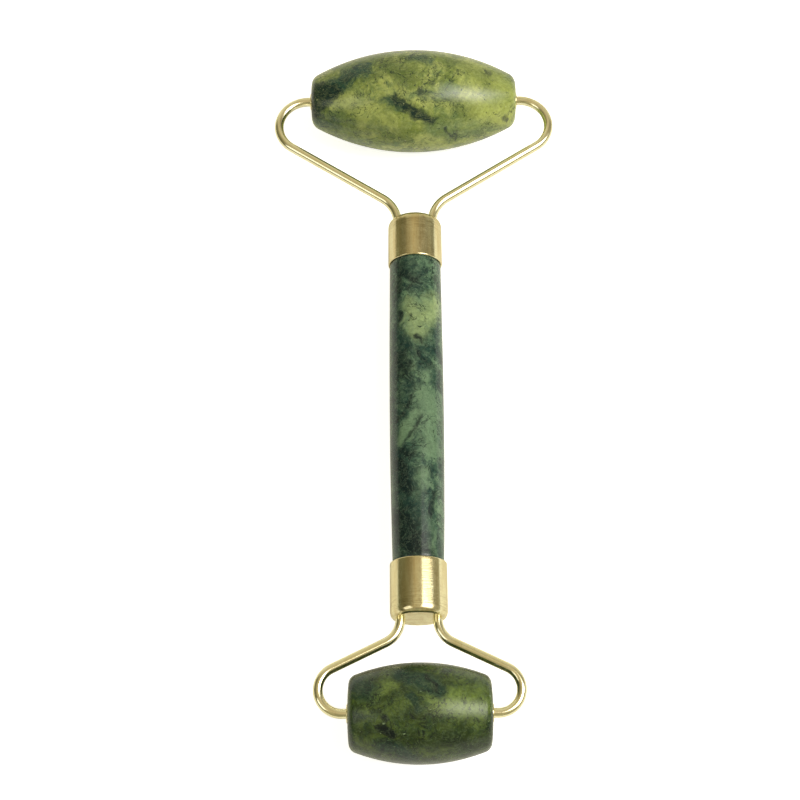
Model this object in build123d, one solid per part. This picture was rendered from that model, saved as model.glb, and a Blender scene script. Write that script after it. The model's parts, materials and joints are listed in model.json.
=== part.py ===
"""Double-ended stone face roller, one STEP file per physical piece.

Row frame in millimetres: X runs along the roller axles, +Y points to the large roller, +Z is up.
The handle axis is parallel to Y. The origin is under the middle, at the lowest point's height.
"""

import os
from math import cos, radians, sin, tan

from build123d import *

# --- Rollers -----------------------------------------------------------------------------
LARGE_LENGTH = 40.7          # stone only, along the axle
LARGE_DIAMETER = 20.25       # at the fattest point
LARGE_END_RADIUS = 4.8       # where the barrel flank would meet the end face
LARGE_CORNER = 2.3           # ground rounding between the flank and the end face
SMALL_LENGTH = 25.1
SMALL_DIAMETER = 17.5
SMALL_END_RADIUS = 6.3
SMALL_CORNER = 1.7
END_DOME = 0.30              # the end face falls this much from its seat to its corner
SEAT_RADIUS = 1.95           # flat spot under the bush head

# --- Bushes ------------------------------------------------------------------------------
BUSH_RADIUS = 1.45           # sleeve outside, the same as the drilled hole
BUSH_LENGTH = 6.0            # sleeve inside the stone
BUSH_HEAD_RADIUS = 1.65
BUSH_HEAD_HEIGHT = 0.18
BUSH_TIP_RADIUS = 1.35
BUSH_LEAD_IN = 0.1
RUNNING_CLEARANCE = 0.05     # radial, between the stub axle and the bush
AXLE_DEPTH = 7.5             # stub axle inside the stone

# --- Yokes -------------------------------------------------------------------------------
WIRE_RADIUS = 0.875
LEG_X = 3.3                  # the two legs leave the cup this far from the handle axis
STAPLE_BEND = 1.6            # bend radius of the U hidden in the cup
TIP_CHAMFER = 0.2
LARGE_AXLE_Y = 60.9
LARGE_SLOPE = 32.9           # degrees between the sloping arm and the axle line
LARGE_LEG_VERTEX_Y = 36.95
LARGE_LEG_BEND = 6.5
LARGE_CORNER_BEND = 5.7
SMALL_AXLE_Y = -62.45
SMALL_SLOPE = 25.9
SMALL_LEG_VERTEX_Y = -48.6
SMALL_LEG_BEND = 4.7
SMALL_CORNER_BEND = 4.2

# --- Handle and cups ---------------------------------------------------------------------
CUP_RADIUS = 5.15
CUP_WALL = 0.3
CUP_EDGE = 0.9               # rounding of the closed end, across the end
CUP_SHOULDER = 1.4           # rounding of the closed end, along the wall
RIM_ROUND = 0.24             # rounding of the open rim, on the outside
LARGE_CUP = (24.1, 33.4)     # open rim, closed end
SMALL_CUP = (-35.5, -45.65)
HOLE_RADIUS = 0.9            # wire holes in the closed ends
TENON_GAP = 3.7              # the stone stops this far short of the closed end
STONE_CHAMFER = 0.4
GLUE_RECESS = 0.15           # the glue line sits this far inside the rim
# Hand-ground profile of the handle stone: distance along Y and radius.
HANDLE_PROFILE = ((23.85, 4.90), (10.0, 5.01), (-9.0, 5.06), (-24.0, 4.90), (-35.25, 4.68))
TENON_RADII = (4.78, 4.6)    # of the stone's two ends, which sit in the large and the small cup
SHOULDER_GAP = 0.1           # each tenon starts this far outside the rim

AXIS_Z = LARGE_DIAMETER / 2  # the large roller rests on Z = 0


def roller_stone(length, diameter, end_radius, corner):
    """Olive-shaped stone with domed end faces and a drilled hole, axis on X."""
    half = length / 2
    foot = half - END_DOME
    outline = [
        Line((half, 0), (half, SEAT_RADIUS)),
        TangentArc((half, SEAT_RADIUS), (foot, end_radius), tangent=(0, 1)),
        ThreePointArc((foot, end_radius), (0, diameter / 2), (-foot, end_radius)),
        TangentArc((-half, SEAT_RADIUS), (-foot, end_radius), tangent=(0, 1)),
        Line((-half, SEAT_RADIUS), (-half, 0)),
        Line((-half, 0), (half, 0)),
    ]
    face = make_face(outline)
    corners = [v for v in face.vertices() if abs(v.Y - end_radius) < 1e-3]
    body = revolve(fillet(corners, corner), Axis.X, 360)
    return body - Cylinder(BUSH_RADIUS, length + 2, rotation=(0, 90, 0))


def bush(length):
    """Brass collar for the +X end of a roller: a sleeve in the hole and a domed head."""
    half = length / 2
    bore = WIRE_RADIUS + RUNNING_CLEARANCE
    tip = half + BUSH_HEAD_HEIGHT
    outline = [
        Polyline(
            (tip, BUSH_TIP_RADIUS),
            (tip, bore + BUSH_LEAD_IN),
            (tip - BUSH_LEAD_IN, bore),
            (half - BUSH_LENGTH, bore),
            (half - BUSH_LENGTH, BUSH_RADIUS),
            (half, BUSH_RADIUS),
            (half, BUSH_HEAD_RADIUS),
        ),
        TangentArc((half, BUSH_HEAD_RADIUS), (tip, BUSH_TIP_RADIUS), tangent=(1, 0)),
    ]
    return revolve(make_face(outline), Axis.X, 360)


def bent_path(points, bends):
    """Wire along straight runs with an arc of the given radius at each inner point."""
    edges = []
    at = Vector(*points[0])
    for before, corner, after, radius in zip(points, points[1:], points[2:], bends):
        vertex = Vector(*corner)
        back = (Vector(*before) - vertex).normalized()
        ahead = (Vector(*after) - vertex).normalized()
        half_angle = radians(back.get_angle(ahead)) / 2
        reach = radius / tan(half_angle)
        start = vertex + back * reach
        end = vertex + ahead * reach
        inward = (back + ahead).normalized()
        middle = vertex + inward * (radius / sin(half_angle) - radius)
        edges.append(Line(at, start))
        edges.append(ThreePointArc(start, middle, end))
        at = end
    edges.append(Line(at, Vector(*points[-1])))
    return Wire(edges)


def yoke(axle_y, slope, leg_vertex_y, leg_bend, corner_bend, roller_length, cup):
    """One wire: stub axle, corner, sloping arm, leg, hidden U, and the same mirrored."""
    side = 1 if axle_y > 0 else -1
    staple_y = cup[1] - side * (CUP_WALL + TENON_GAP) / 2
    corner_x = LEG_X + abs(axle_y - leg_vertex_y) / tan(radians(slope))
    stub_x = roller_length / 2 - AXLE_DEPTH
    right = [
        (stub_x, axle_y),
        (corner_x, axle_y),
        (LEG_X, leg_vertex_y),
        (LEG_X, staple_y),
    ]
    left = [(-x, y) for x, y in reversed(right)]
    bends = [corner_bend, leg_bend, STAPLE_BEND, STAPLE_BEND, leg_bend, corner_bend]
    path = bent_path(right + left, bends)
    section = Plane(origin=path @ 0, z_dir=path % 0) * Circle(WIRE_RADIUS)
    wire = sweep(section, path=path)
    tips = [
        e
        for e in wire.edges().filter_by(GeomType.CIRCLE)
        if abs(abs(e.center().X) - stub_x) < 1e-3 and abs(e.radius - WIRE_RADIUS) < 1e-3
    ]
    return chamfer(tips, TIP_CHAMFER)


def cup_half_section(mouth, end, inset):
    """Half section of a cup's form, drawn in from its outside by the inset, without its wall."""
    side = 1 if end > mouth else -1
    radius = CUP_RADIUS - inset
    floor = end - side * inset
    across = CUP_EDGE - inset
    along = CUP_SHOULDER - inset
    turn = floor - side * along
    outline = [
        Polyline((radius - across, floor), (0, floor), (0, mouth), (radius, mouth), (radius, turn)),
        EllipticalCenterArc((radius - across, turn), across, along, arc_size=90 * side),
    ]
    return make_face(outline)


def cup_cavity(cup, recess=0.0):
    """The space inside a cup, starting a little way in from the open rim."""
    side = 1 if cup[1] > cup[0] else -1
    return revolve(cup_half_section(cup[0] + side * recess, cup[1], CUP_WALL), Axis.Y, 360)


def wire_holes(cup, radius):
    """Two pins through the closed end of a cup, one for each leg of the wire."""
    side = 1 if cup[1] > cup[0] else -1
    middle = cup[1] - side * CUP_WALL / 2
    pins = Part()
    for x in (-LEG_X, LEG_X):
        pins += Pos(x, middle, 0) * Cylinder(radius, CUP_WALL, rotation=(90, 0, 0))
    return pins


def drawn_cup(cup):
    """Thin brass cup with a rounded closed end, a softened rim and two wire holes."""
    face = cup_half_section(cup[0], cup[1], 0)
    rim = [v for v in face.vertices() if abs(v.X - CUP_RADIUS) < 1e-4 and abs(v.Y - cup[0]) < 1e-4]
    body = revolve(fillet(rim, RIM_ROUND), Axis.Y, 360)
    return body - cup_cavity(cup) - wire_holes(cup, HOLE_RADIUS)


def handle_stone():
    """Hand-ground rod, slightly barrelled, with a tenon at each end for its cup."""
    top = LARGE_CUP[1] - TENON_GAP
    bottom = SMALL_CUP[1] + TENON_GAP
    flank = [(r, y) for y, r in HANDLE_PROFILE]
    outline = [
        Spline(*flank),
        Polyline(
            flank[-1],
            (TENON_RADII[1], SMALL_CUP[0] + SHOULDER_GAP),
            (TENON_RADII[1], bottom + STONE_CHAMFER),
            (TENON_RADII[1] - STONE_CHAMFER, bottom),
            (0, bottom),
            (0, top),
            (TENON_RADII[0] - STONE_CHAMFER, top),
            (TENON_RADII[0], top - STONE_CHAMFER),
            (TENON_RADII[0], LARGE_CUP[0] - SHOULDER_GAP),
            flank[0],
        ),
    ]
    return revolve(make_face(outline), Axis.Y, 360)


def adhesive(cup, stone, wire):
    """Cured epoxy that fills a cup round the stone, the wire and the clearance in the holes."""
    filling = cup_cavity(cup, GLUE_RECESS) + wire_holes(cup, HOLE_RADIUS)
    return filling - stone - wire


large_wire = yoke(
    LARGE_AXLE_Y, LARGE_SLOPE, LARGE_LEG_VERTEX_Y, LARGE_LEG_BEND, LARGE_CORNER_BEND,
    LARGE_LENGTH, LARGE_CUP,
)
small_wire = yoke(
    SMALL_AXLE_Y, SMALL_SLOPE, SMALL_LEG_VERTEX_Y, SMALL_LEG_BEND, SMALL_CORNER_BEND,
    SMALL_LENGTH, SMALL_CUP,
)
stone_rod = handle_stone()
pieces = {
    "handle_stone": stone_rod,
    "large_ferrule": drawn_cup(LARGE_CUP),
    "small_ferrule": drawn_cup(SMALL_CUP),
    "large_yoke": large_wire,
    "small_yoke": small_wire,
    "large_adhesive": adhesive(LARGE_CUP, stone_rod, large_wire),
    "small_adhesive": adhesive(SMALL_CUP, stone_rod, small_wire),
}
rollers = (
    ("large", LARGE_LENGTH, LARGE_DIAMETER, LARGE_END_RADIUS, LARGE_CORNER, LARGE_AXLE_Y),
    ("small", SMALL_LENGTH, SMALL_DIAMETER, SMALL_END_RADIUS, SMALL_CORNER, SMALL_AXLE_Y),
)
for name, length, diameter, end_radius, corner, axle_y in rollers:
    place = Pos(0, axle_y, 0)
    pieces[f"{name}_roller_stone"] = place * roller_stone(length, diameter, end_radius, corner)
    pieces[f"{name}_bush_right"] = place * bush(length)
    pieces[f"{name}_bush_left"] = place * Rot(0, 0, 180) * bush(length)

os.makedirs("parts", exist_ok=True)
for name, piece in pieces.items():
    export_step(Pos(0, 0, AXIS_Z) * piece, f"parts/{name}.step")
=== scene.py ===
"""Looks for the double-ended stone face roller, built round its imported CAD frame.

Lengths are in metres in the row frame, and in mm inside the materials: X runs along the roller
axles, +Y points to the large roller, +Z is up.
"""

import json
import math

import bmesh
import bpy
from mathutils import Matrix, Vector
from mathutils.noise import noise as smooth_noise


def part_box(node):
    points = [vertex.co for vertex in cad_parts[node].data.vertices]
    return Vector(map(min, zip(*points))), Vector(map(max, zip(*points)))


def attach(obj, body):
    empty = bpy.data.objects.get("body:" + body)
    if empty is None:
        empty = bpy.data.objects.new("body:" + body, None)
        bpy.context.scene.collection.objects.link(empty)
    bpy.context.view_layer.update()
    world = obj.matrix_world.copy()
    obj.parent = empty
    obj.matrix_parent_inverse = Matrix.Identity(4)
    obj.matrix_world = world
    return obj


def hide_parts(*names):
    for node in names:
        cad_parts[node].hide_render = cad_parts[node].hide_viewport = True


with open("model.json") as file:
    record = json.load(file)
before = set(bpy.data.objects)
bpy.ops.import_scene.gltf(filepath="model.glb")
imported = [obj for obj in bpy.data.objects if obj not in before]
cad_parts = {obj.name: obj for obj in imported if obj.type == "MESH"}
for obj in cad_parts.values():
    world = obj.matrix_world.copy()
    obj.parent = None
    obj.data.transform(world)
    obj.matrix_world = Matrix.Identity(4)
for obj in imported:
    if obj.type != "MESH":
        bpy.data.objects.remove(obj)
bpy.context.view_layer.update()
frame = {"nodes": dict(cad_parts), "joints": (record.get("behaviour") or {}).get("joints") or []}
MM = 0.001
SIZES = ("large", "small")   # the two ends of the part

# --- What the frame says -----------------------------------------------------------------
AXLES = {j["child"]: Vector(j["pos_m"]) for j in frame["joints"]}
AXIS_Z = AXLES["large_roller"].z


def box_size(node):
    """Size of a CAD node's box."""
    low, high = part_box(node)
    return high - low


# --- Mesh helpers ------------------------------------------------------------------------
def add_object(name, bm, smooth=True):
    """New mesh object from a bmesh, shaded smooth, at the origin of the row frame."""
    bmesh.ops.recalc_face_normals(bm, faces=bm.faces)
    mesh = bpy.data.meshes.new(name)
    bm.to_mesh(mesh)
    bm.free()
    for polygon in mesh.polygons:
        polygon.use_smooth = smooth
    piece = bpy.data.objects.new(name, mesh)
    bpy.context.scene.collection.objects.link(piece)
    return piece


def arc(centre, radius, start, end, steps):
    """Points on a circle in the profile plane, both ends included, angles in radians."""
    angles = [start + (end - start) * i / steps for i in range(steps + 1)]
    return [(centre[0] + radius * math.cos(a), centre[1] + radius * math.sin(a)) for a in angles]


def line(start, end, step):
    """Points along a straight line about one step apart, without its last point."""
    length = math.dist(start, end)
    count = max(1, round(length / step))
    return [
        (start[0] + (end[0] - start[0]) * i / count, start[1] + (end[1] - start[1]) * i / count)
        for i in range(count)
    ]


def bridge(bm, first, second):
    """Join two rings of vertices with a band of quads."""
    for k in range(len(first)):
        n = (k + 1) % len(first)
        bm.faces.new((first[k], first[n], second[n], second[k]))


def lathe(bm, profile, place, segments, closed=True, wear=None):
    """Turn a profile of (along, radius) points into a skin of quads.

    place(along, radius, angle) gives the point in the row frame, and wear(point) a small change
    of radius. A closed profile joins its last point to its first.
    """
    rings = []
    for along, radius in profile:
        ring = []
        for k in range(segments):
            angle = 2 * math.pi * k / segments
            spot = place(along, radius, angle)
            if wear:
                spot = place(along, radius + wear(spot, radius), angle)
            ring.append(bm.verts.new(spot))
        rings.append(ring)
    pairs = list(zip(rings, rings[1:]))
    if closed:
        pairs.append((rings[-1], rings[0]))
    for first, second in pairs:
        bridge(bm, first, second)
    return rings


def cap(bm, ring, tip):
    """Close a ring of vertices with a fan to a tip point."""
    apex = bm.verts.new(tip)
    for k, vertex in enumerate(ring):
        bm.faces.new((vertex, ring[(k + 1) % len(ring)], apex))


def crease(bm, limit):
    """Keep edges that turn by more than the limit out of the smooth shading."""
    for edge in bm.edges:
        if len(edge.link_faces) == 2 and edge.calc_face_angle(0) > limit:
            edge.smooth = False


def round_x(centre):
    """Placement for a body of revolution on an axis along X through a point."""
    return lambda along, radius, angle: Vector(
        (
            centre.x + along,
            centre.y + radius * math.cos(angle),
            centre.z + radius * math.sin(angle),
        )
    )


def round_y(centre):
    """Placement for a body of revolution on an axis along Y through a point."""
    return lambda along, radius, angle: Vector(
        (
            centre.x + radius * math.sin(angle),
            centre.y + along,
            centre.z + radius * math.cos(angle),
        )
    )


# --- Stones ------------------------------------------------------------------------------
BORE = 1.45 * MM
SEAT = 1.95 * MM             # flat spot round the drilled hole
END_DOME = 0.30 * MM
BORE_CHIP = 0.12 * MM        # the drilled hole's softened edge
GRIND_DEPTH = 0.05 * MM      # unevenness left by grinding by hand
# Radius of the end face, and of the ground corner between it and the flank.
ROLLERS = {
    "large_roller": {"end": 4.8 * MM, "corner": 2.3 * MM},
    "small_roller": {"end": 6.3 * MM, "corner": 1.7 * MM},
}
FLANK_STEPS = 64
CORNER_STEPS = 14
ROLLER_SEGMENTS = 288
BISECTIONS = 60


def barrel_profile(half, top, end_radius, corner):
    """Outside of an olive-shaped stone from its left seat to its right seat."""
    foot = half - END_DOME
    flank = (foot**2 + (top - end_radius) ** 2) / (2 * (top - end_radius))
    dome = ((end_radius - SEAT) ** 2 + END_DOME**2) / (2 * END_DOME)
    low, high = SEAT, top - corner
    for _ in range(BISECTIONS):
        y = (low + high) / 2
        on_flank = math.sqrt((flank - corner) ** 2 - (y + flank - top) ** 2)
        on_dome = half - dome + math.sqrt((dome - corner) ** 2 - (y - SEAT) ** 2)
        low, high = (y, high) if on_flank > on_dome else (low, y)
    x = on_dome
    lean_flank = math.atan2(y + flank - top, x)
    lean_dome = math.atan2(y - SEAT, x - half + dome)
    right = arc((0, top - flank), flank, math.pi / 2, lean_flank, FLANK_STEPS)[:-1]
    right += arc((x, y), corner, lean_flank, lean_dome, CORNER_STEPS)[:-1]
    right += arc((half - dome, SEAT), dome, lean_dome, 0, CORNER_STEPS)
    left = [(-along, radius) for along, radius in reversed(right[1:])]
    return left + right


def hand_ground(grain, seed):
    """Small inward wander of a stone's surface, with waves about a grain long."""
    shift = Vector((seed * 3.7, seed * 1.3, seed * 2.9))

    def wear(spot, radius):
        wave = 0.5 + 0.5 * smooth_noise(spot / grain + shift)
        return -GRIND_DEPTH * wave * min(1, radius / (3 * MM))

    return wear


def roller_stone(body, seed):
    """Drilled, hand-polished roller stone that stands for its CAD node."""
    name = body + "_stone"
    size = box_size(name)
    half, top = size.x / 2, size.z / 2
    outside = barrel_profile(half, top, ROLLERS[body]["end"], ROLLERS[body]["corner"])
    mouth = [(half - BORE_CHIP * 0.3, BORE + BORE_CHIP * 0.3), (half - BORE_CHIP, BORE)]
    inside = mouth + line((half - BORE_CHIP, BORE), (BORE_CHIP - half, BORE), 1.5 * MM)[1:]
    inside += [(-along, radius) for along, radius in reversed(mouth)]
    bm = bmesh.new()
    wear = hand_ground(7 * MM, seed)
    lathe(bm, outside + inside, round_x(AXLES[body]), ROLLER_SEGMENTS, wear=wear)
    stone = add_object(name + "_polished", bm)
    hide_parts(name)
    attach(stone, body)
    return stone


HANDLE_RADII = (4.90, 5.01, 5.06, 4.90, 4.68)      # mm, at the stations below
HANDLE_STATIONS = (23.85, 10.0, -9.0, -24.0, -35.25)  # mm along Y
TENON_RADII = (4.6 * MM, 4.78 * MM)                 # the two ends in the cups, low Y first
SHOULDER = 0.15 * MM         # length of the slope between rod and tenon
HANDLE_CHAMFER = 0.4 * MM
HANDLE_STEPS = 180
HANDLE_SEGMENTS = 256
TENON_STEP = 0.5 * MM


def handle_radius(along):
    """Radius of the hand-ground handle at a distance along Y, by Lagrange's formula."""
    y = along / MM
    total = 0.0
    for i, here in enumerate(HANDLE_STATIONS):
        term = HANDLE_RADII[i]
        for k, other in enumerate(HANDLE_STATIONS):
            if k != i:
                term *= (y - other) / (here - other)
        total += term
    return total * MM


def handle_stone():
    """Polished handle rod that stands for its CAD node."""
    low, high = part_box("handle_stone")
    inner, outer = HANDLE_STATIONS[-1] * MM, HANDLE_STATIONS[0] * MM
    low_tenon = (low.y + HANDLE_CHAMFER, TENON_RADII[0])
    low_shoulder = (inner - SHOULDER, TENON_RADII[0])
    high_shoulder = (outer + SHOULDER, TENON_RADII[1])
    high_tenon = (high.y - HANDLE_CHAMFER, TENON_RADII[1])
    profile = [(low.y, TENON_RADII[0] - HANDLE_CHAMFER)]
    profile += line(low_tenon, low_shoulder, TENON_STEP)
    profile.append(low_shoulder)
    for i in range(HANDLE_STEPS + 1):
        y = inner + (outer - inner) * i / HANDLE_STEPS
        profile.append((y, handle_radius(y)))
    profile += line(high_shoulder, high_tenon, TENON_STEP)
    profile.append(high_tenon)
    profile.append((high.y, TENON_RADII[1] - HANDLE_CHAMFER))
    bm = bmesh.new()
    axis = Vector((0, 0, AXIS_Z))
    wear = hand_ground(9 * MM, 5)
    rings = lathe(bm, profile, round_y(axis), HANDLE_SEGMENTS, closed=False, wear=wear)
    cap(bm, rings[0], axis + Vector((0, low.y, 0)))
    cap(bm, rings[-1], axis + Vector((0, high.y, 0)))
    stone = add_object("handle_stone_polished", bm)
    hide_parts("handle_stone")
    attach(stone, "handle")
    return stone


# --- Cups --------------------------------------------------------------------------------
CUP_WALL = 0.3 * MM
CUP_EDGE = 0.9 * MM          # the closed end's rounding, across the end
CUP_SHOULDER = 1.4 * MM      # the same rounding, along the wall
RIM_ROUND = 0.24 * MM        # the open rim's outside edge
RIM_BREAK = 0.04 * MM        # its inside edge
LEG_X = 3.3 * MM
HOLE = 0.9 * MM
CUP_SEGMENTS = 256
HOLE_SEGMENTS = 48
OUTER_STEPS, INNER_STEPS = 24, 16  # round the closed end
LIP_STEPS, BREAK_STEPS = 10, 3     # round the rim's two edges
OUTER_STEP, INNER_STEP = 0.25 * MM, 1.0 * MM  # along the wall
CUP_CREASE = math.radians(50)  # edges sharper than this aren't shaded smooth


def rounding(along, radius, depth, width, steps):
    """Quarter ellipse from the end face to the wall of a cup."""
    turns = [math.pi / 2 * k / steps for k in range(steps + 1)]
    return [(along + depth * math.cos(t), radius + width * math.sin(t)) for t in turns]


def pierced_end(bm, ring, y):
    """Fill a cup's ring at a place on Y with a flat disc, and return its two wire holes."""
    holes = []
    for x in (-LEG_X, LEG_X):
        hole = []
        for k in range(HOLE_SEGMENTS):
            angle = 2 * math.pi * k / HOLE_SEGMENTS
            across, up = HOLE * math.cos(angle), HOLE * math.sin(angle)
            hole.append(bm.verts.new((x + across, y, AXIS_Z + up)))
        holes.append(hole)
    edges = [bm.edges.get(pair) for pair in zip(ring, ring[1:] + ring[:1])]
    for hole in holes:
        edges += [bm.edges.new(pair) for pair in zip(hole, hole[1:] + hole[:1])]
    bmesh.ops.triangle_fill(bm, use_beauty=True, use_dissolve=False, edges=edges)
    return holes


def drawn_cup(name):
    """Brass cup with a rounded closed end and two wire holes, standing for its CAD node."""
    low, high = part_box(name)
    radius = (high.x - low.x) / 2
    side = 1 if low.y > 0 else -1
    rim, end = (low.y, high.y) if side > 0 else (high.y, low.y)
    length = abs(end - rim)
    turn = math.pi / 2
    flat = radius - CUP_EDGE
    bore = radius - CUP_WALL
    shoulder = length - CUP_SHOULDER
    outside = rounding(shoulder, flat, CUP_SHOULDER, CUP_EDGE, OUTER_STEPS)
    wall = line((shoulder, radius), (RIM_ROUND, radius), OUTER_STEP)[1:]
    lip = arc((RIM_ROUND, radius - RIM_ROUND), RIM_ROUND, turn, 2 * turn, LIP_STEPS)
    lip += arc((RIM_BREAK, bore + RIM_BREAK), RIM_BREAK, 2 * turn, 3 * turn, BREAK_STEPS)
    inside = line((RIM_BREAK, bore), (shoulder, bore), INNER_STEP)[1:]
    inner = rounding(shoulder, flat, CUP_SHOULDER - CUP_WALL, CUP_EDGE - CUP_WALL, INNER_STEPS)
    inside += inner[::-1][1:]
    bm = bmesh.new()
    place = round_y(Vector((0, rim, AXIS_Z)))
    rings = lathe(
        bm,
        outside + wall + lip + inside,
        lambda along, r, angle: place(side * along, r, angle),
        CUP_SEGMENTS,
        closed=False,
    )
    outer_holes = pierced_end(bm, rings[0], end)
    inner_holes = pierced_end(bm, rings[-1], end - side * CUP_WALL)
    for outer, inner in zip(outer_holes, inner_holes):
        bridge(bm, outer, inner)
    crease(bm, CUP_CREASE)
    cup = add_object(name + "_drawn", bm)
    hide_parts(name)
    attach(cup, "handle")
    return cup


# --- Yokes -------------------------------------------------------------------------------
STAPLE_BEND = 1.6 * MM
WIRE_CHAMFER = 0.2 * MM
# Slope of the arms in degrees, bend radii of leg and corner, and where the leg's bend lies on Y.
YOKES = {
    "large_yoke": {"slope": 32.9, "leg": 6.5 * MM, "corner": 5.7 * MM, "vertex": 36.95 * MM},
    "small_yoke": {"slope": 25.9, "leg": 4.7 * MM, "corner": 4.2 * MM, "vertex": -48.6 * MM},
}
AXLE_DEPTH = 7.5 * MM
WIRE_STEP = 0.5 * MM
BEND_STEP = math.radians(2.5)
WIRE_SEGMENTS = 40


def bent_line(points, bends):
    """Smooth run of points along straights joined by arcs, with the tangent at each point."""
    at = Vector(points[0])
    run = []
    for before, corner, after, radius in zip(points, points[1:], points[2:], bends):
        vertex = Vector(corner)
        back = (Vector(before) - vertex).normalized()
        ahead = (Vector(after) - vertex).normalized()
        half_angle = back.angle(ahead) / 2
        reach = radius / math.tan(half_angle)
        start = vertex + back * reach
        count = max(1, round((start - at).length / WIRE_STEP))
        run += [(at.lerp(start, i / count), -back) for i in range(count)]
        centre = vertex + (back + ahead).normalized() * radius / math.sin(half_angle)
        turn = math.pi - 2 * half_angle
        spoke = start - centre
        axis = (-back).cross(ahead).normalized()
        count = round(turn / BEND_STEP)
        for i in range(count):
            swing = Matrix.Rotation(turn * i / count, 3, axis)
            run.append((centre + swing @ spoke, swing @ -back))
        at = vertex + ahead * reach
    end = Vector(points[-1])
    count = max(1, round((end - at).length / WIRE_STEP))
    ahead = (end - at).normalized()
    run += [(at.lerp(end, i / count), ahead) for i in range(count + 1)]
    return run


def tube(bm, run, wire):
    """Round skin along a run of points and tangents, with chamfered and closed ends."""
    up = Vector((0, 0, 1))
    rings = []
    last = len(run) - 1
    for i, (spot, ahead) in enumerate(run):
        across = up.cross(ahead)
        radius = wire - (WIRE_CHAMFER if i in (0, last) else 0)
        ring = []
        for k in range(WIRE_SEGMENTS):
            angle = 2 * math.pi * k / WIRE_SEGMENTS
            spoke = across * math.cos(angle) + up * math.sin(angle)
            ring.append(bm.verts.new(spot + spoke * radius))
        rings.append(ring)
    for first, second in zip(rings, rings[1:]):
        bridge(bm, first, second)
    cap(bm, rings[0], run[0][0])
    cap(bm, rings[-1], run[-1][0])


def yoke(name, body):
    """Bent wire that stands for its CAD node: stub axles, corners, arms, legs and hidden U."""
    low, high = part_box(name)
    wire = (high.z - low.z) / 2
    shape = YOKES[name]
    axle = AXLES[body]
    side = 1 if axle.y > 0 else -1
    staple = low.y + wire if side > 0 else high.y - wire
    corner_x = LEG_X + abs(axle.y - shape["vertex"]) / math.tan(math.radians(shape["slope"]))
    stub = box_size(body + "_stone").x / 2 - AXLE_DEPTH
    right = [
        (stub, axle.y, AXIS_Z),
        (corner_x, axle.y, AXIS_Z),
        (LEG_X, shape["vertex"], AXIS_Z),
        (LEG_X, staple, AXIS_Z),
    ]
    left = [(-x, y, z) for x, y, z in reversed(right)]
    bends = [shape["corner"], shape["leg"], STAPLE_BEND]
    run = bent_line(right + left, bends + bends[::-1])
    bm = bmesh.new()
    tube(bm, run, wire)
    piece = add_object(name + "_wire", bm)
    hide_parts(name)
    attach(piece, "handle")
    return piece


# --- Bushes ------------------------------------------------------------------------------
BUSH_HEAD = 0.18 * MM
BUSH_TIP = 1.35 * MM
BUSH_BORE = 0.925 * MM
BUSH_LEAD_IN = 0.1 * MM
BUSH_SEGMENTS = 96
BUSH_CREASE = math.radians(40)


def bush(name, body):
    """Brass collar in one end of a roller, standing for its CAD node."""
    low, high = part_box(name)
    axle = AXLES[body]
    side = 1 if high.x > 0 else -1
    tip = max(abs(high.x), abs(low.x))
    inner = min(abs(high.x), abs(low.x))
    seat = tip - BUSH_HEAD
    head = (high.z - low.z) / 2
    bulge = ((head - BUSH_TIP) ** 2 + BUSH_HEAD**2) / (2 * (head - BUSH_TIP))
    lean = math.asin(BUSH_HEAD / bulge)
    profile = arc((seat, head - bulge), bulge, math.pi / 2, math.pi / 2 - lean, 10)
    profile += [(tip, BUSH_BORE + BUSH_LEAD_IN), (tip - BUSH_LEAD_IN, BUSH_BORE)]
    profile += [(inner, BUSH_BORE), (inner, BORE), (seat, BORE)]
    bm = bmesh.new()
    place = round_x(axle)
    lathe(bm, profile, lambda along, r, angle: place(side * along, r, angle), BUSH_SEGMENTS)
    crease(bm, BUSH_CREASE)
    collar = add_object(name + "_turned", bm)
    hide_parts(name)
    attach(collar, body)
    return collar


# --- Camera ------------------------------------------------------------------------------
LENS = 79.2                  # mm on a 36 mm sensor
CAMERA_DISTANCE = 0.327
CAMERA_ELEVATION = math.radians(67.4)
CAMERA_ROLL = math.radians(-0.4)
AIM = Vector((-3.1 * MM, -3.73 * MM, AXIS_Z))


def make_camera():
    """Camera looking down along +Y at the roller lying flat."""
    data = bpy.data.cameras.new("camera")
    data.lens = LENS
    data.sensor_width = 36
    data.clip_start, data.clip_end = 0.01, 20
    camera = bpy.data.objects.new("camera", data)
    bpy.context.scene.collection.objects.link(camera)
    back = Vector((0, -math.cos(CAMERA_ELEVATION), math.sin(CAMERA_ELEVATION)))
    camera.location = AIM + back * CAMERA_DISTANCE
    aim = (-back).to_track_quat("-Z", "Y").to_matrix().to_4x4()
    camera.matrix_world = (
        Matrix.Translation(camera.location) @ aim @ Matrix.Rotation(CAMERA_ROLL, 4, "Z")
    )
    bpy.context.scene.camera = camera


# --- Material helpers --------------------------------------------------------------------
def set_range(node, start, end, low, high):
    """Make a Map Range node give low at start and high at end."""
    for key, number in zip(("From Min", "From Max", "To Min", "To Max"), (start, end, low, high)):
        node.inputs[key].default_value = number


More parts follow.
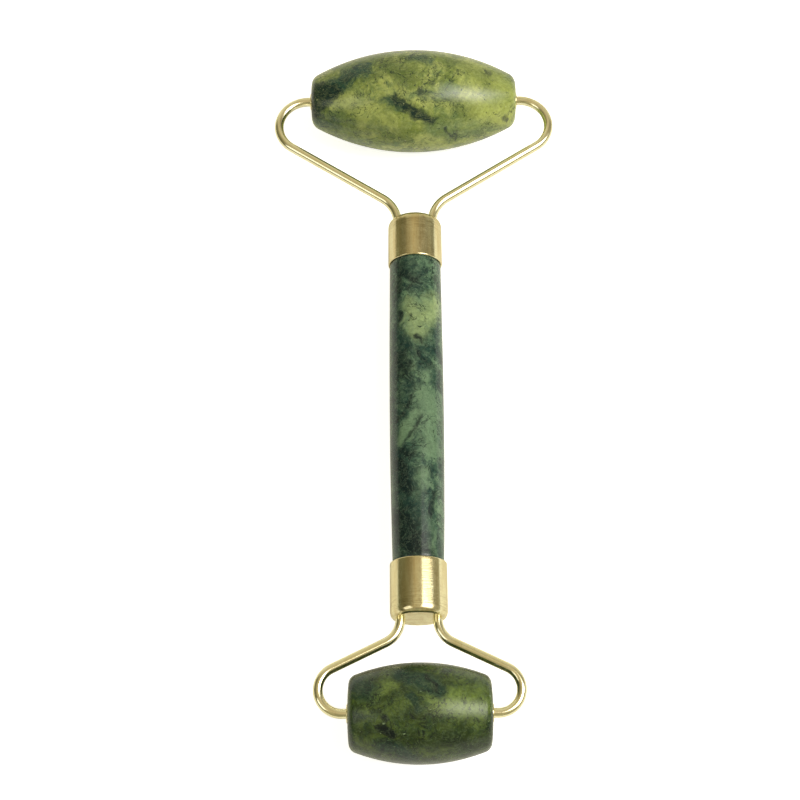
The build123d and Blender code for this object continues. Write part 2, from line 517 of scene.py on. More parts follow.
class Surface:
    """A new material with its shader, and short names for the nodes that feed it."""

    def __init__(self, name, **settings):
        self.material = bpy.data.materials.new(name)
        self.material.use_nodes = True
        self.tree = self.material.node_tree
        self.shader = self.tree.nodes["Principled BSDF"]
        for key, value in settings.items():
            self.shader.inputs[key.replace("_", " ")].default_value = value
        coordinates = self.tree.nodes.new("ShaderNodeTexCoord")
        self.spot = self.vector("SCALE", coordinates.outputs["Object"], scale=1 / MM)

    def feed(self, socket, value):
        """Link a socket, or set it when the value is a plain number, vector or colour."""
        if isinstance(value, bpy.types.NodeSocket):
            self.tree.links.new(value, socket)
        elif isinstance(socket.default_value, float):
            socket.default_value = value
        elif len(socket.default_value) == 4:
            socket.default_value = (*value[:3], 1)
        else:
            socket.default_value = tuple(value)

    def math(self, operation, first, second=0.0, third=0.0):
        """Math node on sockets or plain numbers."""
        node = self.tree.nodes.new("ShaderNodeMath")
        node.operation = operation
        for socket, value in zip(node.inputs, (first, second, third)):
            self.feed(socket, value)
        return node.outputs[0]

    def vector(self, operation, first, second=None, scale=None):
        """Vector Math node on sockets or plain vectors."""
        node = self.tree.nodes.new("ShaderNodeVectorMath")
        node.operation = operation
        self.feed(node.inputs[0], first)
        if second is not None:
            self.feed(node.inputs[1], second)
        if scale is not None:
            self.feed(node.inputs["Scale"], scale)
        scalar = operation in ("DOT_PRODUCT", "LENGTH")
        return node.outputs["Value" if scalar else "Vector"]

    def noise(self, where, size, detail=3.0, roughness=0.6, shift=0.0, color=False):
        """Fractal noise with features about size mm across."""
        if shift:
            where = self.vector("ADD", where, (shift, shift * 0.7, -shift))
        node = self.tree.nodes.new("ShaderNodeTexNoise")
        self.feed(node.inputs["Vector"], where)
        node.inputs["Scale"].default_value = 1 / size
        node.inputs["Detail"].default_value = detail
        node.inputs["Roughness"].default_value = roughness
        return node.outputs["Color" if color else "Fac"]

    def grey(self, value):
        """Neutral colour from a number."""
        node = self.tree.nodes.new("ShaderNodeCombineColor")
        for socket in node.inputs[:3]:
            self.feed(socket, value)
        return node.outputs["Color"]

    def fade(self, value, start, end, low=0.0, high=1.0):
        """Smooth step from low at start to high at end."""
        node = self.tree.nodes.new("ShaderNodeMapRange")
        node.interpolation_type = "SMOOTHSTEP"
        set_range(node, start, end, low, high)
        self.feed(node.inputs["Value"], value)
        return node.outputs["Result"]

    def mix(self, share, first, second, blend="MIX"):
        """Colour that goes from the first to the second with the share."""
        node = self.tree.nodes.new("ShaderNodeMix")
        node.data_type = "RGBA"
        node.blend_type = blend
        self.feed(node.inputs["Factor"], share)
        self.feed(node.inputs[6], first)
        self.feed(node.inputs[7], second)
        return node.outputs[2]

    def thread(self, signal, width, high=1.0):
        """Thin lines where a noise signal crosses its middle, up to high at their centre."""
        off = self.math("ABSOLUTE", self.math("SUBTRACT", signal, 0.5))
        return self.fade(off, width, 0.0, 0, high)

    def warp(self, where, size, amount, shift=0.0):
        """Coordinates pushed about by noise, by up to about half the amount in mm."""
        push = self.noise(where, size, 2.0, 0.5, shift, color=True)
        push = self.vector("SUBTRACT", push, (0.5, 0.5, 0.5))
        return self.vector("ADD", where, self.vector("SCALE", push, scale=amount))

    def bump(self, height, depth):
        """Normal from a height signal, depth in mm for a signal of one."""
        node = self.tree.nodes.new("ShaderNodeBump")
        node.inputs["Strength"].default_value = 1.0
        node.inputs["Distance"].default_value = depth * MM
        self.feed(node.inputs["Height"], height)
        self.feed(self.shader.inputs["Normal"], node.outputs["Normal"])

    def streak_distance(self, where, start, end):
        """Distance in mm from a straight streak between two points inside the stone."""
        reach = end - start
        offset = self.vector("SUBTRACT", where, start)
        if reach.length < 0.05:
            return self.vector("LENGTH", offset)
        share = self.vector("DOT_PRODUCT", offset, reach / reach.length_squared)
        share = self.math("MINIMUM", self.math("MAXIMUM", share, 0.0), 1.0)
        nearest = self.vector("SCALE", reach, scale=share)
        return self.vector("LENGTH", self.vector("SUBTRACT", offset, nearest))


# --- Jade --------------------------------------------------------------------------------
# Marks are streaks in the stone: kind, then where each end lies as (mm along the stone, degrees
# round it from the top), then the radius and the edge's softness in mm, and the strength.
# Some light marks on the two rollers are painted light: they lighten the stone round the key
# highlight.
MARK_KINDS = ("light", "cool", "deep", "teal", "ink")  # in the order they are laid on
PATCHY_KINDS = ("deep", "teal", "ink")                 # these let some stone through
SPREADING_KINDS = ("teal", "ink")                      # these are drawn wider, by the spread
SPREAD = 0.15                # mm
RAGGED = 2.6                 # mm of wander in a mark's edge for each mm of softness
RAGGED_MOST = 3.2
CRACKS = ((4.5, 0.016, 6.0), (2.3, 0.023, 3.6))  # mm of curl, width, mm across a cracked zone
SPECKS = (                   # mm apart, size as a share of that, colour and strength
    (1.15, 0.20, "ink", 0.85),
    (1.7, 0.12, "pale", 0.8),
)
HANDLE_RADIUS = 5.0          # mm, for placing the handle's marks


def roller_place(body):
    """Gives the point on a roller's skin at mm along the axle and degrees round it from the top."""
    size = box_size(body + "_stone") / MM
    half, top = size.x / 2, size.z / 2
    rise = top - ROLLERS[body]["end"] / MM
    flank = (half**2 + rise**2) / (2 * rise)
    centre = AXLES[body] / MM

    def place(along, turn):
        radius = top - flank + math.sqrt(flank**2 - along**2)
        angle = math.radians(turn)
        return centre + Vector((along, radius * math.sin(angle), radius * math.cos(angle)))

    return place


def handle_place(along, turn):
    """Point on the handle's skin from mm along Y and degrees round it from the top."""
    angle = math.radians(turn)
    across, up = HANDLE_RADIUS * math.sin(angle), HANDLE_RADIUS * math.cos(angle)
    return Vector((across, along, AXIS_Z / MM + up))


class Jade(Surface):
    """Polished stone with a pattern that runs through the solid.

    Each noise is shifted by a number of its own, so that no two patterns follow each other.
    """

    def __init__(self, name, palette, shift):
        super().__init__(name, IOR=palette["ior"], Subsurface_Weight=0.04, Subsurface_Scale=0.4 * MM)
        self.shader.inputs["Subsurface Radius"].default_value = (0.8, 1.0, 0.5)
        self.palette = palette
        self.shift = shift
        self.wide = self.warp(self.spot, 5.0, 4.0, shift)
        self.close = self.warp(self.wide, 1.4, 1.0, shift + 5)
        self.ragged = self.warp(self.close, 0.45, 0.45, shift + 7)

    def lay(self, color, tone, share):
        """One of the palette's colours laid over another colour."""
        return self.mix(share, color, self.palette[tone])

    def clouds(self, size):
        """The stone's ground, light and dark, with a web of thin dark veins."""
        palette, shift = self.palette, self.shift
        light = self.noise(self.wide, size, 6.0, 0.62, shift)
        color = self.mix(self.fade(light, 0.44, 0.56), palette["mid"], palette["high"])
        tint = self.noise(self.close, size * 0.55, 5.0, 0.65, shift + 11)
        color = self.lay(color, "cool", self.fade(tint, 0.45, 0.66, 0, 0.75))
        deep = self.noise(self.close, size * 0.8, 6.0, 0.7, shift + 23)
        color = self.lay(color, "deep", self.fade(deep, 0.48, 0.64, 0, palette["deep_share"]))
        web = self.noise(self.close, size * 0.7, 5.0, 0.7, shift + 27)
        return self.lay(color, "teal", self.thread(web, 0.045, palette["web_share"]))

    def mark(self, kind, start, end, radius, soft, strength, mottle):
        """How much of one mark is at each point, with a ragged edge."""
        if kind in SPREADING_KINDS:
            radius = radius + SPREAD
        gap = self.streak_distance(self.ragged, start, end)
        gap = self.math("MULTIPLY_ADD", mottle, min(RAGGED_MOST, soft * RAGGED), gap)
        return self.fade(gap, radius + soft, max(0.0, radius - soft), 0, strength)

    def marks(self, color, place, table):
        """Every kind of mark laid over a colour; the dark kinds are patchy."""
        mottle = self.noise(self.ragged, 0.9, 3.0, 0.65, self.shift + 31)
        mottle = self.math("SUBTRACT", mottle, 0.5)
        holes = self.noise(self.close, 1.4, 5.0, 0.7, self.shift + 37)
        patchy = self.fade(holes, 0.42, 0.62, 1.0, 0.85)
        for kind in MARK_KINDS:
            share = 0.0
            for mark_kind, start, end, *edge in table:
                if mark_kind == kind:
                    one = self.mark(kind, place(*start), place(*end), *edge, mottle)
                    share = self.math("MAXIMUM", share, one)
            if kind in PATCHY_KINDS:
                share = self.math("MULTIPLY", share, patchy)
            color = self.lay(color, kind, share)
        return color

    def lines(self, color):
        """Pale fibres and dark hair cracks, the cracks in some zones only."""
        shift = self.shift
        drawn = self.vector("MULTIPLY", self.close, self.palette["fibre"])
        fibre = self.noise(drawn, 1.5, 5.0, 0.65, shift + 41)
        color = self.lay(color, "pale", self.thread(fibre, 0.03, 0.22))
        for size, width, patch in CRACKS:
            crack = self.thread(self.noise(self.wide, size, 4.0, 0.6, shift + 53 + size), width)
            zone = self.noise(self.spot, patch, 1.0, 0.5, shift + 61 + size)
            zone = self.fade(zone, 0.48, 0.58, 0, 0.8)
            color = self.lay(color, "ink", self.math("MULTIPLY", crack, zone))
        return color

    def grains(self, color):
        """Fine dark pepper in some zones, and small dark and pale crystals."""
        shift = self.shift
        pepper = self.noise(self.ragged, 0.34, 2.0, 0.6, shift + 75)
        zone = self.noise(self.close, 3.0, 2.0, 0.6, shift + 77)
        zone = self.fade(zone, 0.46, 0.62, 0.05, 0.7)
        share = self.math("MULTIPLY", self.fade(pepper, 0.62, 0.74), zone)
        color = self.lay(color, "teal", share)
        for apart, size, tone, strength in SPECKS:
            where = self.vector("ADD", self.ragged, (shift + apart, 0, apart))
            cells = self.tree.nodes.new("ShaderNodeTexVoronoi")
            self.feed(cells.inputs["Vector"], where)
            cells.inputs["Scale"].default_value = 1 / apart
            dots = self.fade(cells.outputs["Distance"], size, size * 0.3)
            chosen = self.tree.nodes.new("ShaderNodeSeparateColor")
            self.feed(chosen.inputs["Color"], cells.outputs["Color"])
            keep = self.fade(chosen.outputs["Red"], 0.66, 0.70, 0, strength)
            color = self.lay(color, tone, self.math("MULTIPLY", dots, keep))
        return color


def jade(name, palette, place, marks, shift, cloud_size):
    """Mottled jade with all its layers, slightly uneven in colour, polish and height."""
    s = Jade(name, palette, shift)
    color = s.clouds(cloud_size)
    color = s.marks(color, place, marks)
    color = s.lines(color)
    fine = s.noise(s.spot, 0.55, 4.0, 0.75, shift + 71)
    color = s.mix(1.0, color, s.grey(s.fade(fine, 0.32, 0.68, 0.80, 1.18)), "MULTIPLY")
    color = s.grains(color)
    s.feed(s.shader.inputs["Base Color"], color)
    polish = s.noise(s.spot, 2.2, 4.0, 0.6, shift + 83)
    s.feed(s.shader.inputs["Roughness"], s.fade(polish, 0.3, 0.7, *palette["roughness"]))
    s.bump(s.math("ADD", fine, s.math("MULTIPLY", polish, 1.5)), 0.006)
    return s.material


LARGE_PALETTE = {
    "ior": 1.5,
    "high": (0.375, 0.435, 0.125),
    "light": (0.40, 0.46, 0.125),
    "mid": (0.185, 0.245, 0.052),
    "cool": (0.125, 0.195, 0.070),
    "deep": (0.066, 0.108, 0.022),
    "teal": (0.012, 0.056, 0.040),
    "ink": (0.004, 0.022, 0.018),
    "pale": (0.46, 0.52, 0.24),
    "deep_share": 0.5,
    "web_share": 0.3,
    "fibre": (1.0, 1.6, 1.6),
    "roughness": (0.18, 0.27),
}
LARGE_MARKS = (
    ("ink", (-19.9, -46), (-17.1, -14), 2.3, 0.9, 1.0),
    ("ink", (-19.8, -26), (-18.2, -6), 1.7, 0.9, 1.0),
    ("teal", (-20.0, -66), (-16.4, -74), 1.8, 1.2, 0.75),
    ("teal", (-15.6, -6), (-10.6, 14), 2.1, 1.2, 1.0),
    ("ink", (-13.6, 3), (-12.6, 7), 0.7, 0.6, 0.7),
    ("deep", (-16.4, -16), (-13.0, 0), 1.5, 1.4, 0.6),
    ("ink", (-10.2, -6), (-8.4, -27), 0.12, 0.28, 0.7),
    ("teal", (-5.6, -31), (-2.4, -37), 0.85, 0.7, 0.85),
    ("ink", (-3.6, -28), (-1.3, -37), 0.8, 0.6, 0.9),
    ("ink", (-1.3, -37), (3.2, -54), 0.95, 0.5, 1.0),
    ("teal", (0.0, 28), (2.7, 19), 1.0, 0.9, 0.8),
    ("ink", (3.6, -13), (4.6, 3), 0.16, 0.3, 0.8),
    ("ink", (1.3, -19), (1.6, -23), 0.45, 0.4, 0.8),
    ("ink", (14.2, 20), (15.4, 14), 0.3, 0.4, 0.8),
    ("ink", (6.1, -69), (7.6, -84), 0.3, 0.4, 0.9),
    ("ink", (8.8, -73), (7.6, -84), 0.3, 0.4, 0.9),
    ("cool", (4.7, -66), (14.0, -78), 2.0, 1.8, 0.65),
    ("ink", (18.1, -66), (18.5, -72), 0.35, 0.3, 0.8),
    ("deep", (-5.0, 15), (-1.5, -3), 2.3, 1.8, 0.75),
    ("deep", (7.0, -31), (10.5, -46), 1.6, 1.4, 0.6),
    ("deep", (-13.0, -60), (-2.0, -74), 1.8, 1.8, 0.5),
    ("deep", (8.0, 18), (14.5, 8), 1.7, 1.8, 0.55),
    ("ink", (-11.4, 22), (-10.8, 17), 0.3, 0.3, 0.7),
    ("light", (-15.0, -24), (-7.0, -44), 2.0, 1.8, 0.6),
    ("light", (12.5, -46), (18.5, -62), 2.6, 2.0, 0.8),
    # painted light: this light mark lightens the stone round the key highlight, standing in for
    # light glowing through the stone
    ("light", (11.0, 12), (19.5, -12), 2.2, 2.4, 0.7),
    ("light", (-2.0, -58), (-10.0, -52), 1.6, 1.6, 0.4),
    ("teal", (-6.0, 128), (3.0, 150), 1.6, 1.3, 0.85),
    ("ink", (3.0, 150), (7.0, 140), 0.6, 0.6, 0.8),
    ("ink", (10.0, 205), (16.0, 188), 1.0, 0.8, 0.85),
    ("teal", (-14.0, 215), (-9.0, 235), 2.0, 1.5, 0.8),
)

HANDLE_PALETTE = {
    "ior": 1.43,
    "high": (0.110, 0.200, 0.122),
    "light": (0.285, 0.385, 0.178),
    "mid": (0.040, 0.092, 0.064),
    "cool": (0.150, 0.250, 0.150),
    "deep": (0.010, 0.036, 0.031),
    "teal": (0.006, 0.032, 0.030),
    "ink": (0.002, 0.012, 0.013),
    "pale": (0.25, 0.34, 0.24),
    "deep_share": 0.85,
    "web_share": 0.75,
    "fibre": (1.5, 1.0, 1.5),
    "roughness": (0.13, 0.22),
}
HANDLE_MARKS = (
    ("ink", (23.4, -42), (17.0, -38), 0.9, 0.7, 0.85),
    ("teal", (17.0, -46), (-34.0, -58), 0.9, 0.9, 0.75),
    ("ink", (23.4, 41), (20.4, 16), 0.25, 0.35, 0.8),
    ("ink", (20.4, 16), (16.6, -11), 0.3, 0.4, 0.8),
    ("ink", (20.7, -30), (18.4, 2), 0.7, 0.7, 0.8),
    ("teal", (22.0, -20), (19.0, 4), 1.6, 1.0, 0.6),
    ("ink", (19.8, 46), (18.7, 53), 0.5, 0.5, 0.8),
    ("light", (14.6, 46), (11.0, 14), 1.5, 2.4, 1.0),
    ("light", (12.8, -12), (8.2, 6), 0.9, 2.6, 0.8),
    ("ink", (11.9, -41), (10.5, -39), 0.45, 0.35, 0.95),
    ("ink", (6.8, 3), (6.5, 11), 0.3, 0.3, 0.9),
    ("teal", (6.6, -34), (3.8, -8), 1.1, 0.9, 0.8),
    ("teal", (5.8, 36), (4.2, 60), 1.2, 0.9, 0.8),
    ("teal", (6.0, 24), (1.4, 12), 1.3, 0.9, 0.65),
    ("ink", (2.7, -38), (-0.4, -24), 1.2, 0.9, 0.8),
    ("ink", (3.6, 7), (2.7, 11), 0.4, 0.4, 0.95),
    ("ink", (1.8, 26), (0.6, 58), 0.6, 0.7, 0.75),
    ("cool", (1.0, -13), (0.4, -10), 0.8, 0.6, 0.9),
    ("cool", (0.2, 15), (-1.8, 30), 0.9, 0.7, 0.9),
    ("ink", (-4.6, -11), (-9.6, -46), 0.38, 0.35, 0.95),
    ("teal", (-4.0, -30), (-7.5, -50), 1.3, 1.0, 0.7),
    ("cool", (-7.8, -2), (-13.0, -32), 1.0, 0.8, 0.9),
    ("cool", (-5.0, 24), (-14.5, 30), 2.2, 1.5, 0.85),
    ("ink", (-9.3, 9), (-14.6, -28), 0.12, 0.25, 0.8),
    ("ink", (-14.9, -30), (-16.3, -12), 0.55, 0.5, 0.9),
    ("teal", (-15.6, -50), (-22.4, -20), 2.0, 1.3, 0.9),
    ("ink", (-17.6, -40), (-22.5, -28), 1.2, 0.9, 0.95),
    ("teal", (-24.0, -30), (-27.0, -10), 1.6, 1.2, 0.7),
    ("cool", (-20.2, 10), (-23.0, -6), 1.0, 0.8, 0.95),
    ("ink", (-23.4, 40), (-27.4, 35), 0.6, 0.5, 0.85),
    ("ink", (-28.2, -40), (-34.6, 0), 2.4, 1.5, 1.0),
    ("teal", (-23.0, -30), (-30.8, 6), 2.2, 1.5, 0.85),
    ("cool", (-29.6, 12), (-33.4, 34), 1.5, 1.0, 0.95),
    ("teal", (-32.4, 46), (-34.8, 50), 0.7, 0.6, 0.8),
    ("light", (14.0, 120), (8.0, 150), 1.6, 1.4, 0.7),
    ("cool", (-2.0, 170), (-9.0, 195), 2.0, 1.5, 0.9),
    ("ink", (4.0, 200), (-3.0, 165), 0.4, 0.5, 0.8),
    ("teal", (-14.0, 130), (-20.0, 165), 1.8, 1.2, 0.8),
    ("ink", (-24.0, 200), (-29.0, 225), 1.1, 0.9, 0.8),
)

SMALL_PALETTE = {
    "ior": 1.42,
    "high": (0.066, 0.104, 0.020),
    "light": (0.185, 0.265, 0.055),
    "mid": (0.026, 0.048, 0.008),
    "cool": (0.030, 0.060, 0.020),
    "deep": (0.010, 0.022, 0.005),
    "teal": (0.007, 0.032, 0.022),
    "ink": (0.001, 0.006, 0.006),
    "pale": (0.22, 0.30, 0.17),
    "deep_share": 0.7,
    "web_share": 0.5,
    "fibre": (1.0, 1.8, 1.4),
    "roughness": (0.23, 0.31),
}
SMALL_MARKS = (
    ("teal", (-2.2, 38), (2.2, 18), 1.6, 0.9, 0.95),
    ("teal", (-1.2, 4), (0.3, -4), 0.9, 0.6, 0.95),
    ("deep", (-3.2, 30), (-2.2, 6), 0.5, 0.6, 0.8),
    ("ink", (-6.6, -32), (-4.8, -37), 0.75, 0.4, 1.0),
    ("ink", (-6.3, -17), (-6.0, -22), 0.35, 0.3, 0.95),
    ("ink", (-10.4, -38), (-9.3, -43), 0.35, 0.35, 0.95),
    ("ink", (-12.1, 2), (-10.3, -33), 0.22, 0.35, 0.8),
    ("ink", (-1.0, -17), (-0.8, -20), 0.3, 0.3, 0.95),
    ("ink", (2.3, -30), (2.5, -33), 0.22, 0.25, 0.9),
    ("ink", (1.6, 30), (2.3, 20), 0.3, 0.3, 0.9),
    ("teal", (-11.2, 42), (-8.8, 14), 1.7, 1.2, 0.75),
    ("teal", (-5.6, -58), (-2.0, -70), 1.5, 1.1, 0.9),
    ("deep", (3.1, 14), (4.4, 24), 0.6, 0.7, 0.8),
    ("ink", (-7.1, 25), (-6.5, 18), 0.2, 0.3, 0.8),
    ("deep", (3.0, -38), (10.0, -60), 1.6, 1.4, 0.75),
    ("deep", (-3.7, -38), (3.0, -48), 0.9, 0.9, 0.6),
    ("deep", (-11.3, -8), (-6.0, 5), 0.4, 0.5, 0.7),
    ("deep", (-9.0, 60), (-6.0, 63), 1.2, 0.9, 0.8),
    # painted light: this light mark lightens the stone under the key highlight, standing in for
    # light glowing through the stone
    ("light", (2.4, 6), (9.2, -7), 1.7, 2.4, 0.85),
    ("light", (-4.0, 26), (-9.0, -2), 1.2, 1.3, 0.5),
    # painted light: this light mark lightens the stone beside the key highlight, towards the right
    # end
    ("light", (10.2, 16), (11.6, 2), 1.3, 1.3, 0.55),
    ("teal", (3.0, 140), (7.0, 160), 1.6, 1.2, 0.85),
    ("ink", (-4.0, 180), (-2.0, 200), 0.6, 0.5, 0.9),
    ("teal", (-8.0, 230), (-3.0, 245), 1.5, 1.2, 0.8),
)


# --- Metal and glue ----------------------------------------------------------------------
CUPS_MIDDLE = -6.1           # mm along Y, halfway between the closed ends of the two cups
STAIN = (0.50, 0.38, 0.16)
FRECKLE = (0.52, 0.40, 0.19)
RING = (0.42, 0.34, 0.15)
RING_BUMP = 1.2              # depth of the turned rings, as a share of the waviness


def add_turning(s, color):
    """Freckles all over a cup, and dark turned rings near its closed end."""
    freckles = s.noise(s.spot, 0.45, 4.0, 0.75, 5)
    color = s.mix(s.fade(freckles, 0.50, 0.68, 0, 0.30), color, FRECKLE)
    axis = s.tree.nodes.new("ShaderNodeSeparateXYZ")
    s.feed(axis.inputs[0], s.spot)
    reach = s.math("ABSOLUTE", s.math("SUBTRACT", axis.outputs["Y"], CUPS_MIDDLE))
    rings = s.noise(s.vector("MULTIPLY", s.spot, (0.05, 1.0, 0.05)), 0.42, 3.0, 0.7, 31)
    share = s.math("MULTIPLY", s.thread(rings, 0.05), s.fade(reach, 35.0, 37.6, 0.10, 0.6))
    share = s.math("MULTIPLY", share, s.fade(reach, 38.7, 39.2, 1.0, 0.0))
    return s.mix(share, color, RING)


def brass(name, polish, bright, warm, lathe_axis=None):
    """Polished pale brass, streaked along the handle, with rings when it was turned on a lathe."""
    s = Surface(name, Metallic=1.0)
    s.shader.inputs["Specular Tint"].default_value = (1.0, 0.97, 0.86, 1)
    drawn = s.vector("MULTIPLY", s.spot, (1.0, 0.12, 1.0))
    tone = s.noise(drawn, 1.6, 4.0, 0.6, 3)
    color = s.mix(s.fade(tone, 0.35, 0.65), bright, warm)
    stain = s.noise(drawn, 0.5, 3.0, 0.7, 9)
    color = s.mix(s.fade(stain, 0.58, 0.78, 0, 0.3), color, STAIN)
    if lathe_axis == "Y":
        color = add_turning(s, color)
    s.feed(s.shader.inputs["Base Color"], color)
    haze = s.noise(s.spot, 1.1, 4.0, 0.65, 13)
    s.feed(s.shader.inputs["Roughness"], s.fade(haze, 0.3, 0.72, *polish))
    height = s.noise(s.spot, 2.4, 2.0, 0.5, 17)
    if lathe_axis:
        stretch = [0.02, 0.02, 0.02]
        stretch["XYZ".index(lathe_axis)] = 1.0
        rings = s.noise(s.vector("MULTIPLY", s.spot, stretch), 0.28, 3.0, 0.7, 21)
        height = s.math("MULTIPLY_ADD", rings, RING_BUMP, height)
    s.bump(height, 0.012)
    return s.material


def epoxy():
    """Amber glue, seen only at the cups' rims and round the wires."""
    s = Surface("cured_epoxy", IOR=1.5)
    color = s.mix(s.noise(s.spot, 0.8, 3.0), (0.42, 0.36, 0.20), (0.60, 0.54, 0.36))
    s.feed(s.shader.inputs["Base Color"], color)
    s.feed(s.shader.inputs["Roughness"], s.fade(s.noise(s.spot, 0.5, 3.0), 0.3, 0.7, 0.3, 0.5))
    return s.material


# --- Light and floor ---------------------------------------------------------------------
# The room's colours from straight down to straight up.
ROOM_LOW = (0.13, 0.125, 0.07)
ROOM_MIDDLE = (0.32, 0.27, 0.165)
ROOM_MIDDLE_AT = 0.62
ROOM_TOP = (0.60, 0.51, 0.33)
# Walls: the axis they stand across, where they begin and are full on it, strength and colour.
ROOM_WALLS = (
    ("X", 0.25, 0.85, 0.6, (0.50, 0.47, 0.33)),
    ("X", -0.30, -0.75, 0.8, (0.17, 0.165, 0.09)),
    ("Y", 0.50, 0.70, 1.0, (0.70, 0.65, 0.46)),
    ("Y", -0.50, -0.70, 1.0, (0.40, 0.37, 0.23)),
)
CLUTTER_SCALE = 3.2          # unevenness of the room: how fine it is, and how dim to bright
CLUTTER_RANGE = (0.68, 1.30)
# Softboxes: name, place and size in metres, radiance and colour. The three key panels nest, so
# that their reflection fades softly at its edge.
SOFTBOXES = (
    ("key_core", (0.300, -0.05, 0.485), (0.15, 0.22), 2.8, (1.0, 0.98, 0.94)),
    ("key_light", (0.314, -0.05, 0.489), (0.28, 0.34), 3.1, (1.0, 0.98, 0.94)),
    ("key_halo", (0.328, -0.05, 0.493), (0.42, 0.48), 2.0, (1.0, 0.98, 0.94)),
    ("side_light", (-0.42, -0.22, 0.40), (0.26, 0.34), 1.3, (1.0, 0.98, 0.95)),
)
FLOOR_SIZE = 3               # metres from the middle to each side
FLOOR_PAPER = ((0.90, 0.90, 0.90), (0.93, 0.93, 0.93))
FLOOR_MIRRORED = (0.90, 0.90, 0.87)
FLOOR_GLOW = 0.1             # light that the floor gives off
FLOOR_LIFT = 0.66            # extra brightness that only the camera sees


def area_light(name, place, size, radiance, color):
    """Rectangular softbox that faces the part and isn't seen itself."""
    data = bpy.data.lights.new(name, "AREA")
    data.shape = "RECTANGLE"
    data.size, data.size_y = size
    data.energy = radiance * math.pi * size[0] * size[1]
    data.color = color
    lamp = bpy.data.objects.new(name, data)
    bpy.context.scene.collection.objects.link(lamp)
    spot = Vector(place)
    turn = spot.to_track_quat("Z", "Y").to_matrix().to_4x4()
    lamp.matrix_world = Matrix.Translation(spot) @ turn
    lamp.visible_camera = False


def overlay(tree, share, under, over):
    """Colour socket with a plain colour laid over it, by the share in another socket."""
    node = tree.nodes.new("ShaderNodeMix")
    node.data_type = "RGBA"
    tree.links.new(share, node.inputs["Factor"])
    tree.links.new(under, node.inputs[6])
    node.inputs[7].default_value = (*over, 1)
    return node.outputs[2]


def ranged(tree, source, start, end, low, high):
    """Socket that runs evenly from low at start to high at end."""
    node = tree.nodes.new("ShaderNodeMapRange")
    set_range(node, start, end, low, high)
    tree.links.new(source, node.inputs["Value"])
    return node.outputs["Result"]


def studio_room():
    """Dim uneven room for the metal to reflect, olive low down and beige overhead.

    The camera itself sees plain white.
    """
    world = bpy.data.worlds.new("studio")
    bpy.context.scene.world = world
    world.use_nodes = True
    tree = world.node_tree
    nodes, links = tree.nodes, tree.links
    direction = nodes.new("ShaderNodeTexCoord").outputs["Generated"]
    parts = nodes.new("ShaderNodeSeparateXYZ")
    links.new(direction, parts.inputs[0])
    height = nodes.new("ShaderNodeValToRGB")
    links.new(parts.outputs["Z"], height.inputs["Fac"])
    stops = height.color_ramp.elements
    stops[0].position, stops[0].color = 0.0, (*ROOM_LOW, 1)
    stops[1].position, stops[1].color = 1.0, (*ROOM_TOP, 1)
    middle = stops.new(ROOM_MIDDLE_AT)
    middle.color = (*ROOM_MIDDLE, 1)
    color = height.outputs["Color"]
    for axis, start, full, strength, glow in ROOM_WALLS:
        share = ranged(tree, parts.outputs[axis], start, full, 0.0, strength)
        color = overlay(tree, share, color, glow)
    clutter = nodes.new("ShaderNodeTexNoise")
    links.new(direction, clutter.inputs["Vector"])
    clutter.inputs["Scale"].default_value = CLUTTER_SCALE
    clutter.inputs["Detail"].default_value = 3.0
    uneven = nodes.new("ShaderNodeVectorMath")
    uneven.operation = "SCALE"
    links.new(color, uneven.inputs[0])
    dim_or_bright = ranged(tree, clutter.outputs["Fac"], 0.35, 0.65, *CLUTTER_RANGE)
    links.new(dim_or_bright, uneven.inputs["Scale"])
    seen = nodes.new("ShaderNodeLightPath")
    color = overlay(tree, seen.outputs["Is Camera Ray"], uneven.outputs["Vector"], (1, 1, 1))
    background = nodes["Background"]
    links.new(color, background.inputs["Color"])
    background.inputs["Strength"].default_value = 1.0


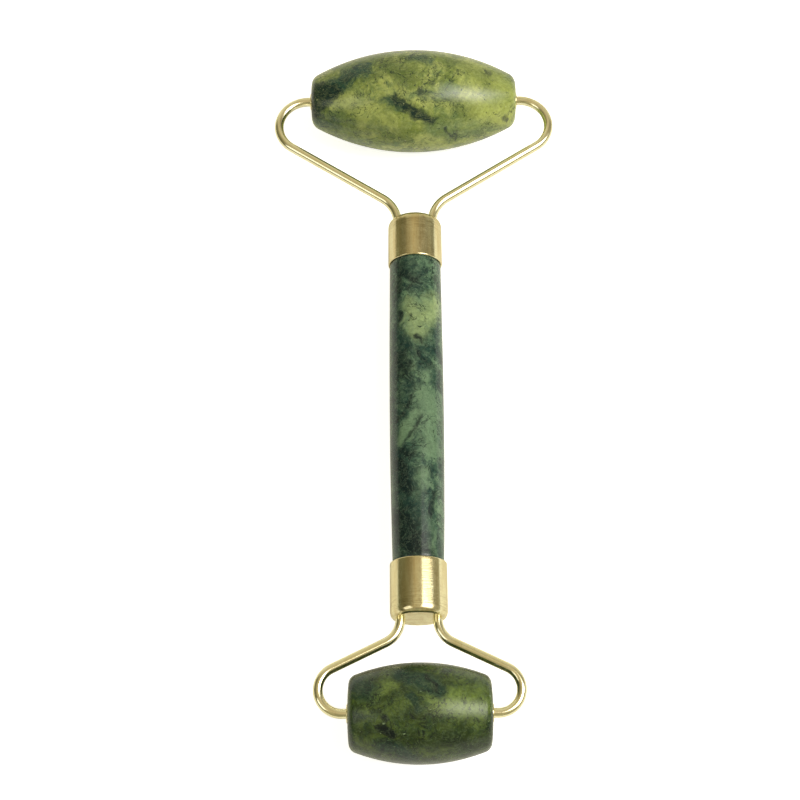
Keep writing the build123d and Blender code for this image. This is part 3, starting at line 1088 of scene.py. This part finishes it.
def pale_floor():
    """Big white light table that the part lies on.

    It glows a little, more so for the camera, and looks slightly warm in reflections.
    """
    bm = bmesh.new()
    bmesh.ops.create_grid(bm, x_segments=1, y_segments=1, size=FLOOR_SIZE)
    floor = add_object("floor", bm, smooth=False)
    s = Surface("pale_floor", Roughness=0.8, Specular_IOR_Level=0.0)
    paper = s.mix(s.noise(s.spot, 60.0, 2.0), *FLOOR_PAPER)
    s.shader.inputs["Emission Color"].default_value = (1, 1, 1, 1)
    seen = s.tree.nodes.new("ShaderNodeLightPath")
    color = s.mix(seen.outputs["Is Glossy Ray"], paper, FLOOR_MIRRORED)
    s.feed(s.shader.inputs["Base Color"], color)
    glow = s.math("MULTIPLY_ADD", seen.outputs["Is Camera Ray"], FLOOR_LIFT, FLOOR_GLOW)
    s.feed(s.shader.inputs["Emission Strength"], glow)
    floor.data.materials.append(s.material)


# --- The scene ---------------------------------------------------------------------------
make_camera()
studio_room()
pale_floor()
for softbox in SOFTBOXES:
    area_light(*softbox)

on_large = roller_place("large_roller")
on_small = roller_place("small_roller")
jade_large = jade("jade_large", LARGE_PALETTE, on_large, LARGE_MARKS, 0.0, 5.4)
jade_handle = jade("jade_handle", HANDLE_PALETTE, handle_place, HANDLE_MARKS, 100.0, 3.8)
jade_small = jade("jade_small", SMALL_PALETTE, on_small, SMALL_MARKS, 200.0, 4.0)
brass_drawn = brass(
    "brass_drawn_wire", polish=(0.10, 0.20), bright=(0.88, 0.845, 0.60), warm=(0.84, 0.79, 0.51)
)
brass_cup = brass(
    "brass_turned_cup",
    polish=(0.13, 0.23),
    bright=(0.83, 0.785, 0.51),
    warm=(0.69, 0.59, 0.33),
    lathe_axis="Y",
)
brass_bush = brass(
    "brass_turned_bush",
    polish=(0.1, 0.2),
    bright=(0.80, 0.755, 0.46),
    warm=(0.74, 0.66, 0.36),
    lathe_axis="X",
)
glue = epoxy()

for stone, look, slot in (
    (roller_stone("large_roller", 1), jade_large, "jade_large"),
    (roller_stone("small_roller", 2), jade_small, "jade_small"),
    (handle_stone(), jade_handle, "jade_handle"),
):
    stone.data.materials.append(look)
metal = [(drawn_cup(f"{size}_ferrule"), brass_cup) for size in SIZES]
metal += [(yoke(f"{size}_yoke", f"{size}_roller"), brass_drawn) for size in SIZES]
metal += [
    (bush(f"{size}_bush_{hand}", f"{size}_roller"), brass_bush)
    for size in SIZES
    for hand in ("left", "right")
]
for piece, look in metal:
    piece.data.materials.append(look)
for size in SIZES:
    solid = frame["nodes"][f"{size}_adhesive"]
    if solid.material_slots:
        solid.material_slots[0].material = glue
    else:
        solid.data.materials.append(glue)

bpy.context.scene.view_settings.view_transform = "Standard"
